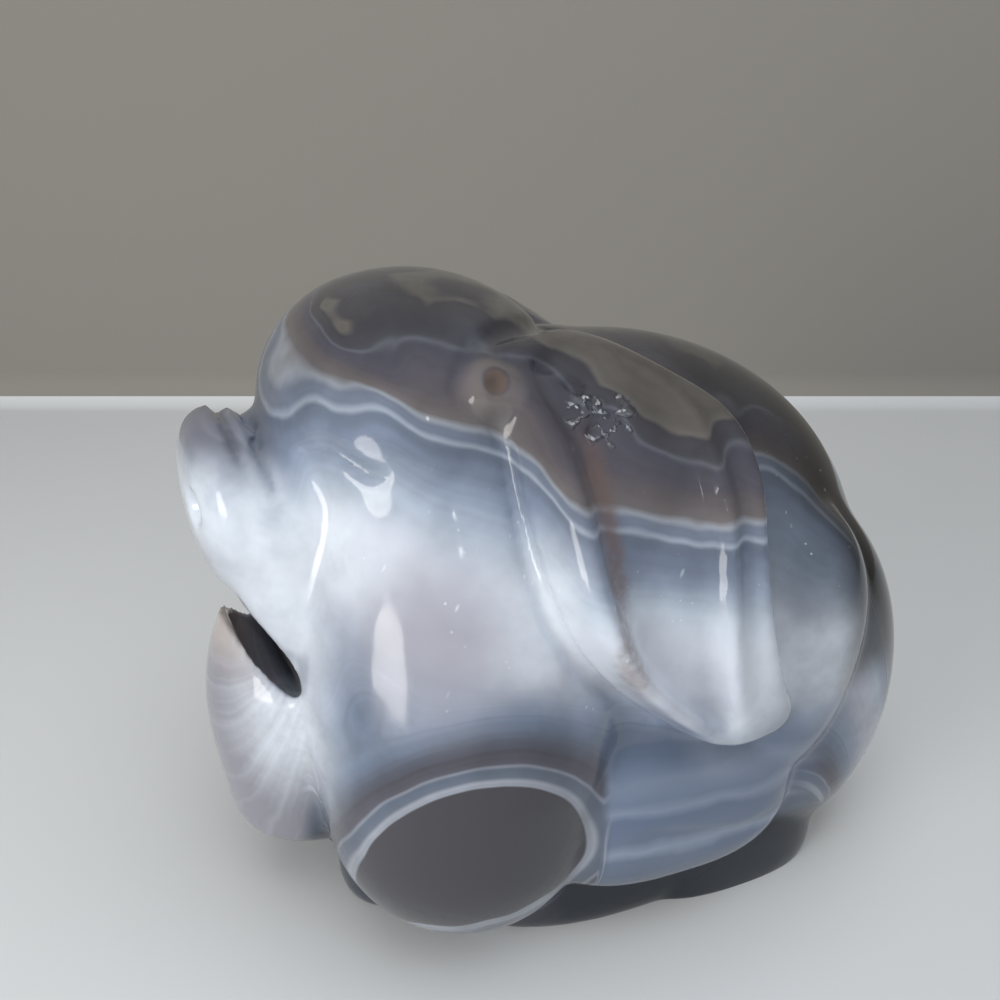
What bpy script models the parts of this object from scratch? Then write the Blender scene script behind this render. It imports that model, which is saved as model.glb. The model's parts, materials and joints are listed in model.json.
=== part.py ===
"""Agate pig carving: one stone, carved as a round sitting pig with a laughing open mouth, drooping
scooped ears and cheeks that hang almost to the table. The pig faces -X and its left side is -Y.
Z = 0 is the small flat it rests on. Lengths here are in millimetres; the finished mesh is in metres."""

import math

import bmesh
import bpy
import numpy as np
from mathutils import Matrix, Vector

# Driving dimensions, in millimetres
HEAD_TOP = 96.7  # height of the forehead over the table
FACE_X = -35.5  # front of the forehead and cheeks
CHEEK_Y = 18.0  # the hanging end of a cheek lies this far out from the middle
CHEEK_BALL = 20.5  # its radius
BODY_TOP = 86.0
RUMP_X = 66.0  # rearmost point of the body
BODY_HALF_WIDTH = 36.0
SNOUT_HEIGHT = 68.0  # centre of the nose disc
SNOUT_RADIUS = 12.8
SNOUT_LEAN = 6.0  # degrees by which the nose disc's top tips forward
JAW_RIM = 51.0  # height of the lower lip
EAR_OUT = 6.0  # how far an ear's rim stands out from the side of the head
EAR_REACH = 60.0  # length of an ear
EAR_ROOT = (-11.9, -23.5, 86.2)  # the knob from which an ear's rolled edge starts

# The ear's front and back edges from root to tip, seen from the side, as X and Z
EAR_FRONT = [(-5.5, 90.4), (-11.8, 88.6), (-12.6, 85.6), (-11, 80), (-10.3, 72), (-9.5, 64), (-6, 55),
             (1, 47), (10, 39.5), (17.5, 36.8)]
EAR_BACK = [(-1.5, 91), (6, 90), (13.2, 86.4), (19.6, 81.6), (21.4, 74.6), (20.4, 65), (21.2, 56),
            (24.2, 46.5), (27.6, 40.0), (24.5, 36.6)]

# How finely the stone is worked, in millimetres, and how many faces it ends with
COARSE = 1.3
FINE = 1.0
CRISP = 0.7
FACES_KEPT = 9600
LAP = 12.0  # how deep an ear is sunk into the shoulder that carries it
MM = 0.001


def clear_scene():
    for obj in list(bpy.data.objects):
        bpy.data.objects.remove(obj, do_unlink=True)


def new_object(name, mesh):
    obj = bpy.data.objects.new(name, mesh)
    bpy.context.scene.collection.objects.link(obj)
    return obj


def mesh_of(name, points, faces):
    mesh = bpy.data.meshes.new(name)
    mesh.from_pydata([tuple(p) for p in points], [], faces)
    shape = bmesh.new()
    shape.from_mesh(mesh)
    bmesh.ops.recalc_face_normals(shape, faces=shape.faces)
    shape.to_mesh(mesh)
    shape.free()
    return mesh


def pebble(name, centre, radii, turn=(0.0, 0.0, 0.0), square=1.0):
    """A ball stretched to its three radii; square below 1 fills its corners out. Turn is in degrees."""
    shape = bmesh.new()
    bmesh.ops.create_icosphere(shape, subdivisions=5, radius=1.0)
    turned = Matrix.Identity(3)
    for axis, degrees in zip("XYZ", turn):
        turned = Matrix.Rotation(math.radians(degrees), 3, axis) @ turned
    for vertex in shape.verts:
        filled = [math.copysign(abs(c) ** square, c) * r for c, r in zip(vertex.co, radii)]
        vertex.co = turned @ Vector(filled) + Vector(centre)
    mesh = bpy.data.meshes.new(name)
    shape.to_mesh(mesh)
    shape.free()
    return new_object(name, mesh)


def mirrored(obj, name):
    """A copy of the form on the other side of the pig's middle plane."""
    other = new_object(name, obj.data.copy())
    other.data.transform(Matrix.Scale(-1, 4, (0, 1, 0)))
    other.data.flip_normals()
    return other


def both_sides(make, name, *values, **more):
    left = make(name + "_left", *values, **more)
    return [left, mirrored(left, name + "_right")]


def spline(knots, share):
    """The point at this share of the way along a smooth curve through the knots."""
    knots = np.asarray(knots, float)
    place = min(max(share, 0.0), 1.0) * (len(knots) - 1)
    first = min(int(place), len(knots) - 2)
    t = place - first
    before, start, end, after = (
        knots[min(max(first + k, 0), len(knots) - 1)] for k in (-1, 0, 1, 2)
    )
    return 0.5 * (
        2 * start
        + (end - before) * t
        + (2 * before - 5 * start + 4 * end - after) * t**2
        + (3 * start - before - 3 * end + after) * t**3
    )


def loft(name, rings):
    """A closed skin over rings of the same number of points, its ends closed by a fan."""
    count = len(rings[0])
    points = [p for ring in rings for p in ring]
    faces = []
    for row in range(len(rings) - 1):
        for k in range(count):
            a = row * count + k
            b = row * count + (k + 1) % count
            faces.append((a, b, b + count, a + count))
    for ring, offset in ((rings[0], 0), (rings[-1], (len(rings) - 1) * count)):
        middle = len(points)
        points.append(np.mean(np.asarray(ring, float), axis=0))
        faces += [(offset + k, offset + (k + 1) % count, middle) for k in range(count)]
    return new_object(name, mesh_of(name, points, faces))


def tube(name, knots, radii, steps=40, sides=12):
    """A round bar along a smooth curve through the knots, its radius running through the radii."""
    path = [spline(knots, k / (steps - 1)) for k in range(steps)]
    across = None
    rings = []
    for k, place in enumerate(path):
        ahead = Vector(path[min(k + 1, steps - 1)] - path[max(k - 1, 0)]).normalized()
        start = across if across else ahead.orthogonal()
        across = (start - ahead * start.dot(ahead)).normalized()
        over = ahead.cross(across)
        radius = float(spline([[r] for r in radii], k / (steps - 1))[0])
        angles = np.linspace(0, 2 * math.pi, sides, endpoint=False)
        ring = [Vector(place) + radius * (math.cos(a) * across + math.sin(a) * over) for a in angles]
        rings.append([np.array(p) for p in ring])
    return loft(name, rings)


def baked(obj):
    """The object's mesh with its modifiers worked in, and the modifiers gone."""
    bpy.context.view_layer.update()
    graph = bpy.context.evaluated_depsgraph_get()
    mesh = bpy.data.meshes.new_from_object(obj.evaluated_get(graph))
    obj.modifiers.clear()
    old = obj.data
    obj.data = mesh
    bpy.data.meshes.remove(old)
    return obj


def fused(name, forms, voxel, rubs):
    """The forms grown into one skin, then rubbed down: more rubs make softer joints."""
    shape = bmesh.new()
    for form in forms:
        shape.from_mesh(form.data)
        bpy.data.objects.remove(form, do_unlink=True)
    mesh = bpy.data.meshes.new(name)
    shape.to_mesh(mesh)
    shape.free()
    obj = new_object(name, mesh)
    skin = obj.modifiers.new("skin", "REMESH")
    skin.mode = "VOXEL"
    skin.voxel_size = voxel
    rub = obj.modifiers.new("rub", "SMOOTH")
    rub.factor = 0.5
    rub.iterations = rubs
    return baked(obj)


def cut_from(obj, cutters):
    for cutter in cutters:
        cut = obj.modifiers.new(cutter.name, "BOOLEAN")
        cut.operation = "DIFFERENCE"
        cut.object = cutter
        cut.solver = "EXACT"
    baked(obj)
    for cutter in cutters:
        bpy.data.objects.remove(cutter, do_unlink=True)
    return obj


def drop(name, knots, radii, count=10):
    """Balls strung along a curve, close enough to read as one tapering form."""
    balls = []
    for k in range(count):
        share = k / (count - 1)
        radius = float(spline([[r] for r in radii], share)[0])
        balls.append(pebble(name, spline(knots, share), (radius,) * 3))
    return balls


def torso():
    """The egg of the body, its rump and the belly it sits on."""
    middle_x = 14.0
    forms = [
        pebble("barrel", (middle_x, 0, 45), (RUMP_X - middle_x - 4, BODY_HALF_WIDTH, BODY_TOP - 45)),
        pebble("rump", (RUMP_X - 41, 0, 32), (41, BODY_HALF_WIDTH - 1, 32)),
        pebble("belly", (14, 0, 5), (36, 29, 12), square=0.8),
        pebble("neck", (8, 0, 62), (24, 31, 25)),
    ]
    forms += both_sides(pebble, "buttock", (40.5, -17, 32), (21, 18, 31))
    return fused("torso", forms, COARSE, 14)


def haunch(name):
    return pebble(name, (32.5, -21.0, 41.5), (14.0, 17.8, 24), (0, 16, 0), 0.88)


def head():
    """Forehead, temples and the two cheeks, which swell downwards like drops."""
    forms = [
        pebble("forehead", (-14, 0, HEAD_TOP - 19), (-14 - FACE_X, 27, 19.5), square=0.94),
        pebble("skull", (-8, 0, 58), (26, 27, 32)),
    ]
    cheek = [(-11.5, -6.0, 72), (-11.5, -11.5, 58), (-12, -15, 42), (-14.0, -CHEEK_Y, CHEEK_BALL + 4.0)]
    for ball in drop("cheek", cheek, (20.4, 22.6, 24.3, CHEEK_BALL)):
        forms += [ball, mirrored(ball, "cheek_right")]
    return fused("head", forms, COARSE, 22)


def muzzle():
    """The block of the upper lip, from the nose disc back to the face."""
    stations = [(-43.0, 59.0, 75.0, 9.0), (-42.0, 56.0, 77.6, 11.5), (-39.5, 50.5, 78.4, 13.6),
                (-36.5, 45.5, 78.0, 15.0), (-32.5, 44.0, 78.0, 16.5), (-22.0, 44.0, 78.0, 17.0)]
    rings = []
    for k in range(31):
        x, low, high, half = spline(stations, k / 30)
        ring = []
        for a in np.linspace(0, 2 * math.pi, 48, endpoint=False):
            fill = 0.6
            across = half * math.copysign(abs(math.cos(a)) ** fill, math.cos(a))
            height = (high - low) / 2 * math.copysign(abs(math.sin(a)) ** fill, math.sin(a))
            ring.append((x, across, (high + low) / 2 + height))
        rings.append(ring)
    return loft("muzzle", rings)


def snout():
    """The nose: a round button with a full rim, tipped forward at the top."""
    middle = (-40.6, 0, SNOUT_HEIGHT)
    turn = (0, -SNOUT_LEAN, 0)
    disc = pebble("disc", middle, (6.0, SNOUT_RADIUS, SNOUT_RADIUS), turn, 0.85)
    return [muzzle(), disc]


def jaw():
    """The lower jaw: a deep cup standing between the cheeks, its rim curling a little inwards."""
    levels = [(12, -39.0, 6.5), (16, -43.6, 10.5), (25, -45.7, 13.5), (36, -46.8, 15.5),
              (45, -45.4, 15.4), (JAW_RIM + 1.5, -42.4, 13.5)]
    back = -28.0
    rings = []
    for k in range(25):
        height, front, half = spline(levels, k / 24)
        ring = []
        for a in np.linspace(0, 2 * math.pi, 40, endpoint=False):
            along = math.copysign(abs(math.cos(a)) ** 0.8, math.cos(a))
            x = back + (front - back) * along
            tip = 6.5 * (1 - max(0.0, along) ** 2) * max(0.0, (height - 40) / 12)
            ring.append((x, half * math.sin(a), height - tip))
        rings.append(ring)
    return loft("jaw", rings)


def ear(name):
    """A thick leaf laid over the shoulder: a rolled front edge, a hollow, and a raised strip behind."""
    rows, columns = 90, 60
    outer, inner = [], []
    for i in range(rows):
        share = i / (rows - 1)
        a, b = spline(EAR_FRONT, share), spline(EAR_BACK, share)
        width = np.linalg.norm(b - a)
        ends = min(share, 1 - share) * EAR_REACH
        for j in range(columns):
            across = j / (columns - 1)
            x, z = a + (b - a) * across
            relief = ear_relief(width * across, width * (1 - across), ends, share)
            crown = min(1.0, max(0.0, (z - 80.0) / 9.0))
            outer.append((x, -side_of_head(x, z) - relief, z))
            inner.append((x, -side_of_head(x, z) + LAP - 7.0 * crown, z - 2.0 * crown))
    count = rows * columns
    faces = []
    for i in range(rows - 1):
        for j in range(columns - 1):
            k = i * columns + j
            faces.append((k, k + 1, k + 1 + columns, k + columns))
            faces.append((count + k + columns, count + k + 1 + columns, count + k + 1, count + k))
    border = [j for j in range(columns)]
    border += [i * columns + columns - 1 for i in range(1, rows)]
    border += [(rows - 1) * columns + j for j in range(columns - 2, -1, -1)]
    border += [i * columns for i in range(rows - 2, 0, -1)]
    for a, b in zip(border, border[1:] + border[:1]):
        faces.append((a, b, count + b, count + a))
    return new_object(name, mesh_of(name, outer + inner, faces))


def ear_root(name):
    """The knob from which the rolled edge starts."""
    return pebble(name, EAR_ROOT, (3.7, 3.5, 3.5))


def ear_relief(from_front, from_back, ends, share):
    """How far the ear stands out there, in millimetres, over the side of the head."""
    roll = math.exp(-(((from_front - 4.4) / 3.3) ** 2))
    strip = 1.4 + 11.8 * share**1.3 + 3.0 * math.exp(-(((share - 0.38) / 0.13) ** 2))
    inside = max(0.0, from_back - strip)
    rim = math.exp(-((inside / 1.1) ** 2))
    scoop = 0.34 + 0.26 * math.exp(-inside / 7.0)
    top = 0.4 + 0.6 * math.exp(-(((share * EAR_REACH - 3.0) / 2.6) ** 2))
    tip = min(1.0, max(0.0, (share - 0.80) / 0.14))
    hollow = max(roll, rim, scoop, top)
    valley = min(1.0, max(0.0, 3.4 - 4 * share)) * (from_back < strip)
    hollow -= 0.3 * valley * math.exp(-(((from_back / strip - 0.55) / 0.25) ** 2))
    hollow += (0.95 - hollow) * tip * tip * (3 - 2 * tip)
    edge = min(1.0, from_front / 2.6, from_back / 1.8, ends / 2.6)
    rounded = math.sqrt(max(0.0, 1 - (1 - edge) ** 2))
    lift = 1.0 + 0.25 * share + 0.16 * math.exp(-from_back / 6.0)
    return EAR_OUT * lift * rounded * hollow


def side_of_head(x, z):
    """How far out from the middle the surface under the ear lies."""
    inward = ((x - 4.0) / 60.0) ** 2 + ((z - 54.0) / (40.0 if z > 54.0 else 60.0)) ** 2
    return 37.0 * math.sqrt(max(0.05, 1 - inward))


def foreleg(name):
    return pebble(name, (13.5, -25.5, 24.5), (22.5, 13, 15), (0, 3, 0), 0.72)


def hind_foot(name):
    return pebble(name, (29.5, -20, 5), (18, 10.3, 11), square=0.75)


def hooves():
    return both_sides(pebble, "hoof", (-20, -7, 7), (10.5, 7, 9), square=0.85)


def tail():
    """A short curl lying against the rump, its tip tucked back to its root."""
    middle_z = 50.0
    curl = 6.5
    knots = []
    for k in range(9):
        angle = math.radians(-110 + 45 * k)
        radius = curl * (1 - 0.07 * k)
        z = middle_z + radius * math.sin(angle)
        knots.append((rump_at(z) + 0.5, radius * math.cos(angle), z))
    return tube("tail", knots, (3.4, 3.4, 3.2, 2.8, 2.0))


def rump_at(z):
    """How far back the rump's middle line reaches at this height."""
    return 14.0 + (RUMP_X - 18.0) * math.sqrt(1 - ((z - 45.0) / (BODY_TOP - 45.0)) ** 2)


def mouth():
    """The open mouth: a flat pocket behind the lower lip, under the upper one."""
    slot = pebble("mouth_slot", (-38.8, 0, JAW_RIM - 3.3), (9, 15.5, 2.3), (0, 58, 0), 0.75)
    throat = pebble("mouth_throat", (-36.5, 0, JAW_RIM - 6.0), (6.5, 11, 4.6), (0, 0, 0), 0.9)
    return [slot, throat]


def eye_crease(name):
    knots = [(-33.7, -12, 77.2), (-31.6, -16.8, 79.3), (-29.5, -19.6, 78.2), (-27.4, -21.8, 76.8),
             (-25, -24, 77.2)]
    return tube(name, knots, (0.9, 1.3, 1.3, 1.2, 0.6))


def on_skin(stone, x, z, lift):
    """The point this far outside the stone's left skin, found from the side at X and Z."""
    place, normal = stone.ray_cast((x, -200, z), (0, 1, 0))[1:3]
    return place + normal * lift


def ear_pit(name, stone):
    return pebble(name, on_skin(stone, EAR_ROOT[0], EAR_ROOT[2] + 1.6, 0.5), (1.9, 1.9, 1.9))


def ear_groove(name, stone):
    """The crease that parts the ear's rolled edge from the neck and the cheek."""
    knots = []
    for share in np.linspace(0.26, 0.86, 9):
        x, z = spline(EAR_FRONT, share)
        knots.append(on_skin(stone, x - 0.6, z - 0.4 * share, 0.4))
    return tube(name, knots, (1.0, 1.3, 1.5, 1.5, 1.0))


def crown_groove(name):
    """The valley between the back of the head and the ear, which runs on round the knob."""
    knots = [(9.5, 1.5, 88.4), (4.5, -7.5, 89.9), (0.2, -12.6, 91.6), (-4.8, -16.4, 92.4),
             (-9.6, -19.2, 92.2), (-13.6, -21.6, 91.0), (-16.4, -23.9, 88.2), (-16.2, -25.9, 85.2),
             (-14.2, -27.2, 83.0)]
    return tube(name, knots, (2.4, 2.4, 2.2, 1.9, 1.5, 1.3, 1.3), 60)


def chip(name, stone):
    """Small bites along a natural crack near the root of the left ear."""
    bites = [(-3.6, 87.8, (2.0, 1.2, 0.9), 20), (-1.0, 85.9, (2.2, 1.4, 1.1), 35),
             (1.2, 83.8, (2.4, 1.4, 1.2), 45), (0.0, 81.6, (1.3, 1.1, 2.4), 10)]
    places = [on_skin(stone, x, z, 0.1) for x, z, radii, turn in bites]
    return [pebble(name, place, radii, (0, turn, 0), 0.7) for place, (x, z, radii, turn) in zip(places, bites)]


def slab_fold(name):
    """A shallow channel along the foreleg, from the cheek to its rear end."""
    knots = [(0, -39.8, 23.6), (8, -40.6, 22.8), (15, -40.7, 20.6), (22, -40.4, 18.9), (31, -38.6, 19.4)]
    return tube(name, knots, (2.0, 3.0, 3.2, 3.2, 2.6))


def wrinkles():
    """Two grooves over the bridge of the snout, one behind the other."""
    behind_disc = [(-40.7, 0, 80.2), (-40.6, -4.6, 79.6), (-40.2, -10, 76.8), (-39.6, -12.6, 73)]
    before_brow = [(-37.2, 0, 78.2), (-37.4, -5, 77.8), (-37.4, -9.8, 76.8), (-36.6, -13.6, 73),
                   (-36.2, -15.2, 70)]
    grooves = []
    for half in (behind_disc, before_brow):
        other = [(x, -y, z) for x, y, z in half[:0:-1]]
        grooves.append(tube("wrinkle", other + half, (0.5, 1.0, 1.0, 1.0, 0.5)))
    return grooves


def ground_cutter():
    shape = bmesh.new()
    bmesh.ops.create_cube(shape, size=400.0)
    bmesh.ops.translate(shape, verts=shape.verts, vec=(0, 0, -200.0))
    mesh = bpy.data.meshes.new("ground")
    shape.to_mesh(mesh)
    shape.free()
    return new_object("ground", mesh)


def agate():
    material = bpy.data.materials.new("polished_agate")
    material.use_nodes = True
    shader = material.node_tree.nodes["Principled BSDF"]
    shader.inputs["Base Color"].default_value = (0.32, 0.33, 0.38, 1.0)
    shader.inputs["Roughness"].default_value = 0.12
    shader.inputs["Metallic"].default_value = 0.0
    return material


def build():
    forms = [torso(), head(), jaw()] + snout() + hooves() + [tail()]
    forms += both_sides(ear, "ear") + both_sides(ear_root, "ear_root")
    forms += both_sides(foreleg, "foreleg")
    forms += both_sides(haunch, "haunch")
    forms += both_sides(hind_foot, "hind_foot")
    pig = fused("pig", forms, FINE, 3)
    bpy.context.view_layer.update()
    cutters = mouth() + wrinkles() + both_sides(eye_crease, "eye_crease")
    cutters += both_sides(slab_fold, "slab_fold") + both_sides(crown_groove, "crown_groove")
    cutters += both_sides(ear_groove, "ear_groove", pig) + both_sides(ear_pit, "ear_pit", pig)
    cutters += chip("chip", pig)
    cutters += both_sides(pebble, "nostril", (-47.0, -5.6, 69.5), (2.6, 2.0, 2.8))
    cut_from(pig, cutters)
    pig = fused("pig", [pig], CRISP, 1)
    thin = pig.modifiers.new("thin", "DECIMATE")
    thin.ratio = FACES_KEPT / sum(len(face.vertices) - 2 for face in pig.data.polygons)
    baked(pig)
    cut_from(pig, [ground_cutter()])
    pig.data.transform(Matrix.Scale(MM, 4))
    pig.data.materials.clear()
    pig.data.materials.append(agate())
    pig.data.shade_smooth()
    return pig


clear_scene()
build()
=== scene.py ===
# %% [markdown]
# # A polished agate pig
#
# The object is one lump of banded agate, carved as a round pig that sits with its mouth open in a laugh and
# its ears folded down over its shoulders. It is about eleven centimetres long. This lesson grows the stone
# from simple forms, cuts the fine lines into it, and then paints the agate's layers as a solid pattern that
# runs right through the stone. The pig faces -X, its left side is -Y, and it rests on Z = 0.

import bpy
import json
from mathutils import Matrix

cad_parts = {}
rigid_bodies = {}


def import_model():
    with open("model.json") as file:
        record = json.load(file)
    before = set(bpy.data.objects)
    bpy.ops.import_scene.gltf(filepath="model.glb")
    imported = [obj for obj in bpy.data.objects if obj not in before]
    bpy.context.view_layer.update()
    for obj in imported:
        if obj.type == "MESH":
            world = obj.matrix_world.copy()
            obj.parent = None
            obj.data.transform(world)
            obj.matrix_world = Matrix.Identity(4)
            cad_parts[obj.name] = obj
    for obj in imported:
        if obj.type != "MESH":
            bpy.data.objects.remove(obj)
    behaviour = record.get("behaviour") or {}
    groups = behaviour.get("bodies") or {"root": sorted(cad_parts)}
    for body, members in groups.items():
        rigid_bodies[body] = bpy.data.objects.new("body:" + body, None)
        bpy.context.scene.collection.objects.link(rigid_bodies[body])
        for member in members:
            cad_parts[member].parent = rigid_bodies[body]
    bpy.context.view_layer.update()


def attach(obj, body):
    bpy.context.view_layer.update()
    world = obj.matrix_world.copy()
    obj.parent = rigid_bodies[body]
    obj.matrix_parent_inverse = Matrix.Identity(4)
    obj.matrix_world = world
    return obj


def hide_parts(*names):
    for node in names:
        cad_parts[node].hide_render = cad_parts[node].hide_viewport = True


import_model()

# %% Modules and units
import json
import math

import bmesh
import bpy
import numpy as np
from mathutils import Matrix, Vector

MM = 0.001

# %% [markdown]
# ## Camera
#
# The stone is small and the camera is close to it, about an arm's bend away, so the near cheek looks larger
# than the rump. That makes distance matter as much as direction. The camera is placed by its azimuth,
# elevation and distance from a point inside the stone, which are easier to reason about than coordinates.

# %% Camera
CAMERA_AZIMUTH = math.radians(-24.0)
CAMERA_ELEVATION = math.radians(22.0)
CAMERA_DISTANCE = 165 * MM
CAMERA_TARGET = Vector((0, 0, 61 * MM))
FIELD_OF_VIEW = math.radians(50.0)


def direction(azimuth, elevation):
    """The unit vector towards a place at this azimuth (0 is -Y, growing towards +X) and height angle."""
    level = math.cos(elevation)
    return Vector((math.sin(azimuth) * level, -math.cos(azimuth) * level, math.sin(elevation)))


def add_camera():
    lens = bpy.data.cameras.new("camera")
    lens.sensor_width = 36.0
    lens.lens = lens.sensor_width / 2 / math.tan(FIELD_OF_VIEW / 2)
    lens.clip_start = 5 * MM
    camera = bpy.data.objects.new("camera", lens)
    bpy.context.scene.collection.objects.link(camera)
    back = direction(CAMERA_AZIMUTH, CAMERA_ELEVATION)
    camera.location = CAMERA_TARGET + back * CAMERA_DISTANCE
    camera.rotation_mode = "QUATERNION"
    camera.rotation_quaternion = (-back).to_track_quat("-Z", "Y")
    bpy.context.scene.camera = camera
    return camera


camera = add_camera()
print("camera at", [round(c / MM) for c in camera.location], "mm, lens", round(camera.data.lens, 1))

# %% [markdown]
# ## Floor and wall
#
# A polished stone shows its surroundings in its skin, so a pale floor and a dull wall do half the work of
# making it look glossy. They are one sheet bent in a soft curve, as in a photographer's cove, so no hard
# line reflects in the stone.

# %% Floor and wall
WALL_DISTANCE = 254 * MM
WALL_HEIGHT = 620 * MM
FLOOR_FRONT = 600 * MM
COVE_RADIUS = 12 * MM
HALF_WIDTH = 900 * MM


def plain_material(name, colour, roughness):
    material = bpy.data.materials.new(name)
    material.use_nodes = True
    shader = material.node_tree.nodes["Principled BSDF"]
    shader.inputs["Base Color"].default_value = (*colour, 1.0)
    shader.inputs["Roughness"].default_value = roughness
    return material


def add_cove():
    """A sheet that runs along the floor towards the wall, turns up in a quarter circle and climbs."""
    profile = [(-FLOOR_FRONT, 0.0)]
    for k in range(13):
        turn = math.radians(90 * k / 12)
        along = WALL_DISTANCE - COVE_RADIUS + COVE_RADIUS * math.sin(turn)
        profile.append((along, COVE_RADIUS * (1 - math.cos(turn))))
    profile.append((WALL_DISTANCE, WALL_HEIGHT))
    away = -direction(CAMERA_AZIMUTH, 0.0)
    across = Vector((math.cos(CAMERA_AZIMUTH), math.sin(CAMERA_AZIMUTH), 0))
    points, faces = [], []
    for along, height in profile:
        for side in (-HALF_WIDTH, HALF_WIDTH):
            points.append(away * along + across * side + Vector((0, 0, height)))
    for k in range(len(profile) - 1):
        faces.append((2 * k, 2 * k + 1, 2 * k + 3, 2 * k + 2))
    mesh = bpy.data.meshes.new("cove")
    mesh.from_pydata([tuple(p) for p in points], [], faces)
    mesh.shade_smooth()
    mesh.materials.append(plain_material("pale_floor", (0.62, 0.635, 0.64), 0.55))
    mesh.materials.append(plain_material("dull_wall", (0.26, 0.245, 0.22), 0.9))
    for face in mesh.polygons:
        face.material_index = 1 if face.center.z > 0.3 * COVE_RADIUS else 0
    cove = bpy.data.objects.new("cove", mesh)
    bpy.context.scene.collection.objects.link(cove)
    return cove


cove = add_cove()
print("cove:", len(cove.data.polygons), "faces")

# %% [markdown]
# ## Light
#
# Three soft panels light the stone, and none of them is mirrored in it, for a polished stone would show
# each as a hard shape. Two small dim ones are mirrored instead: a low window that makes the bright leaf on
# the near cheek, and a lamp over the camera that strikes the small glints along the edges.

# %% Light
STONE_MIDDLE = Vector((0, 0, 48 * MM))


def add_panel(name, azimuth, elevation, distance, size, power, colour, mirrored_in_stone):
    """An oval area light that faces the middle of the stone."""
    panel = bpy.data.lights.new(name, "AREA")
    panel.shape = "ELLIPSE"
    panel.size, panel.size_y = size
    panel.energy = power
    panel.color = colour
    lamp = bpy.data.objects.new(name, panel)
    bpy.context.scene.collection.objects.link(lamp)
    lamp.visible_glossy = mirrored_in_stone
    towards = direction(math.radians(azimuth), math.radians(elevation))
    lamp.location = STONE_MIDDLE + towards * distance
    lamp.rotation_mode = "QUATERNION"
    lamp.rotation_quaternion = (-towards).to_track_quat("-Z", "Y")
    return lamp


def add_world(colour, strength):
    world = bpy.data.worlds.new("room")
    world.use_nodes = True
    sky = world.node_tree.nodes["Background"]
    sky.inputs["Color"].default_value = (*colour, 1.0)
    sky.inputs["Strength"].default_value = strength
    bpy.context.scene.world = world


add_panel("window", -66, 16, 0.55, (0.30, 0.30), 1.55, (1.0, 0.985, 0.96), False)
add_panel("ceiling", 10, 75, 0.75, (0.8, 0.8), 3.0, (0.95, 0.97, 1.0), False)
add_panel("fill", -20, 45, 0.80, (0.7, 0.6), 2.0, (0.97, 0.98, 1.0), False)
add_panel("window_glint", -66, -4.0, 0.26, (0.10, 0.13), 0.16, (1.0, 0.97, 0.93), True)
add_panel("lamp_glint", -20, 27, 0.50, (0.02, 0.02), 0.010, (1.0, 1.0, 1.0), True)
add_world((0.80, 0.82, 0.86), 0.30)
bpy.context.scene.view_settings.view_transform = "Standard"

# %% [markdown]
# ## Tools for growing a stone
#
# A carved stone has no seams: every form runs into the next. So each form is made as a simple closed shape
# that overlaps its neighbours, and then all are grown into one skin with a voxel remesh and rubbed with a
# smoothing pass, much as a lapidary rubs a joint soft. Grooves are cut with Booleans afterwards, because a
# remesh would close them. All lengths below are in millimetres until the stone is finished.

# %% Meshes and pebbles
def new_object(name, mesh):
    obj = bpy.data.objects.new(name, mesh)
    bpy.context.scene.collection.objects.link(obj)
    return obj


def mesh_of(name, points, faces):
    mesh = bpy.data.meshes.new(name)
    mesh.from_pydata([tuple(p) for p in points], [], faces)
    shape = bmesh.new()
    shape.from_mesh(mesh)
    bmesh.ops.recalc_face_normals(shape, faces=shape.faces)
    shape.to_mesh(mesh)
    shape.free()
    return mesh


def pebble(name, centre, radii, turn=(0.0, 0.0, 0.0), square=1.0):
    """A ball stretched to its three radii; square below 1 fills its corners out. Turn is in degrees."""
    shape = bmesh.new()
    bmesh.ops.create_icosphere(shape, subdivisions=5, radius=1.0)
    turned = Matrix.Identity(3)
    for axis, degrees in zip("XYZ", turn):
        turned = Matrix.Rotation(math.radians(degrees), 3, axis) @ turned
    for vertex in shape.verts:
        filled = [math.copysign(abs(c) ** square, c) * r for c, r in zip(vertex.co, radii)]
        vertex.co = turned @ Vector(filled) + Vector(centre)
    mesh = bpy.data.meshes.new(name)
    shape.to_mesh(mesh)
    shape.free()
    return new_object(name, mesh)


def mirrored(obj, name):
    """A copy of the form on the other side of the pig's middle plane."""
    other = new_object(name, obj.data.copy())
    other.data.transform(Matrix.Scale(-1, 4, (0, 1, 0)))
    other.data.flip_normals()
    return other


def both_sides(make, name, *values, **more):
    left = make(name + "_left", *values, **more)
    return [left, mirrored(left, name + "_right")]


# %% Curves, lofts and tubes
def spline(knots, share):
    """The point at this share of the way along a smooth curve through the knots."""
    knots = np.asarray(knots, float)
    place = min(max(share, 0.0), 1.0) * (len(knots) - 1)
    first = min(int(place), len(knots) - 2)
    t = place - first
    before, start, end, after = (
        knots[min(max(first + k, 0), len(knots) - 1)] for k in (-1, 0, 1, 2)
    )
    return 0.5 * (
        2 * start
        + (end - before) * t
        + (2 * before - 5 * start + 4 * end - after) * t**2
        + (3 * start - before - 3 * end + after) * t**3
    )


def loft(name, rings):
    """A closed skin over rings of the same number of points, its ends closed by a fan."""
    count = len(rings[0])
    points = [p for ring in rings for p in ring]
    faces = []
    for row in range(len(rings) - 1):
        for k in range(count):
            a = row * count + k
            b = row * count + (k + 1) % count
            faces.append((a, b, b + count, a + count))
    for ring, offset in ((rings[0], 0), (rings[-1], (len(rings) - 1) * count)):
        middle = len(points)
        points.append(np.mean(np.asarray(ring, float), axis=0))
        faces += [(offset + k, offset + (k + 1) % count, middle) for k in range(count)]
    return new_object(name, mesh_of(name, points, faces))


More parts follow.
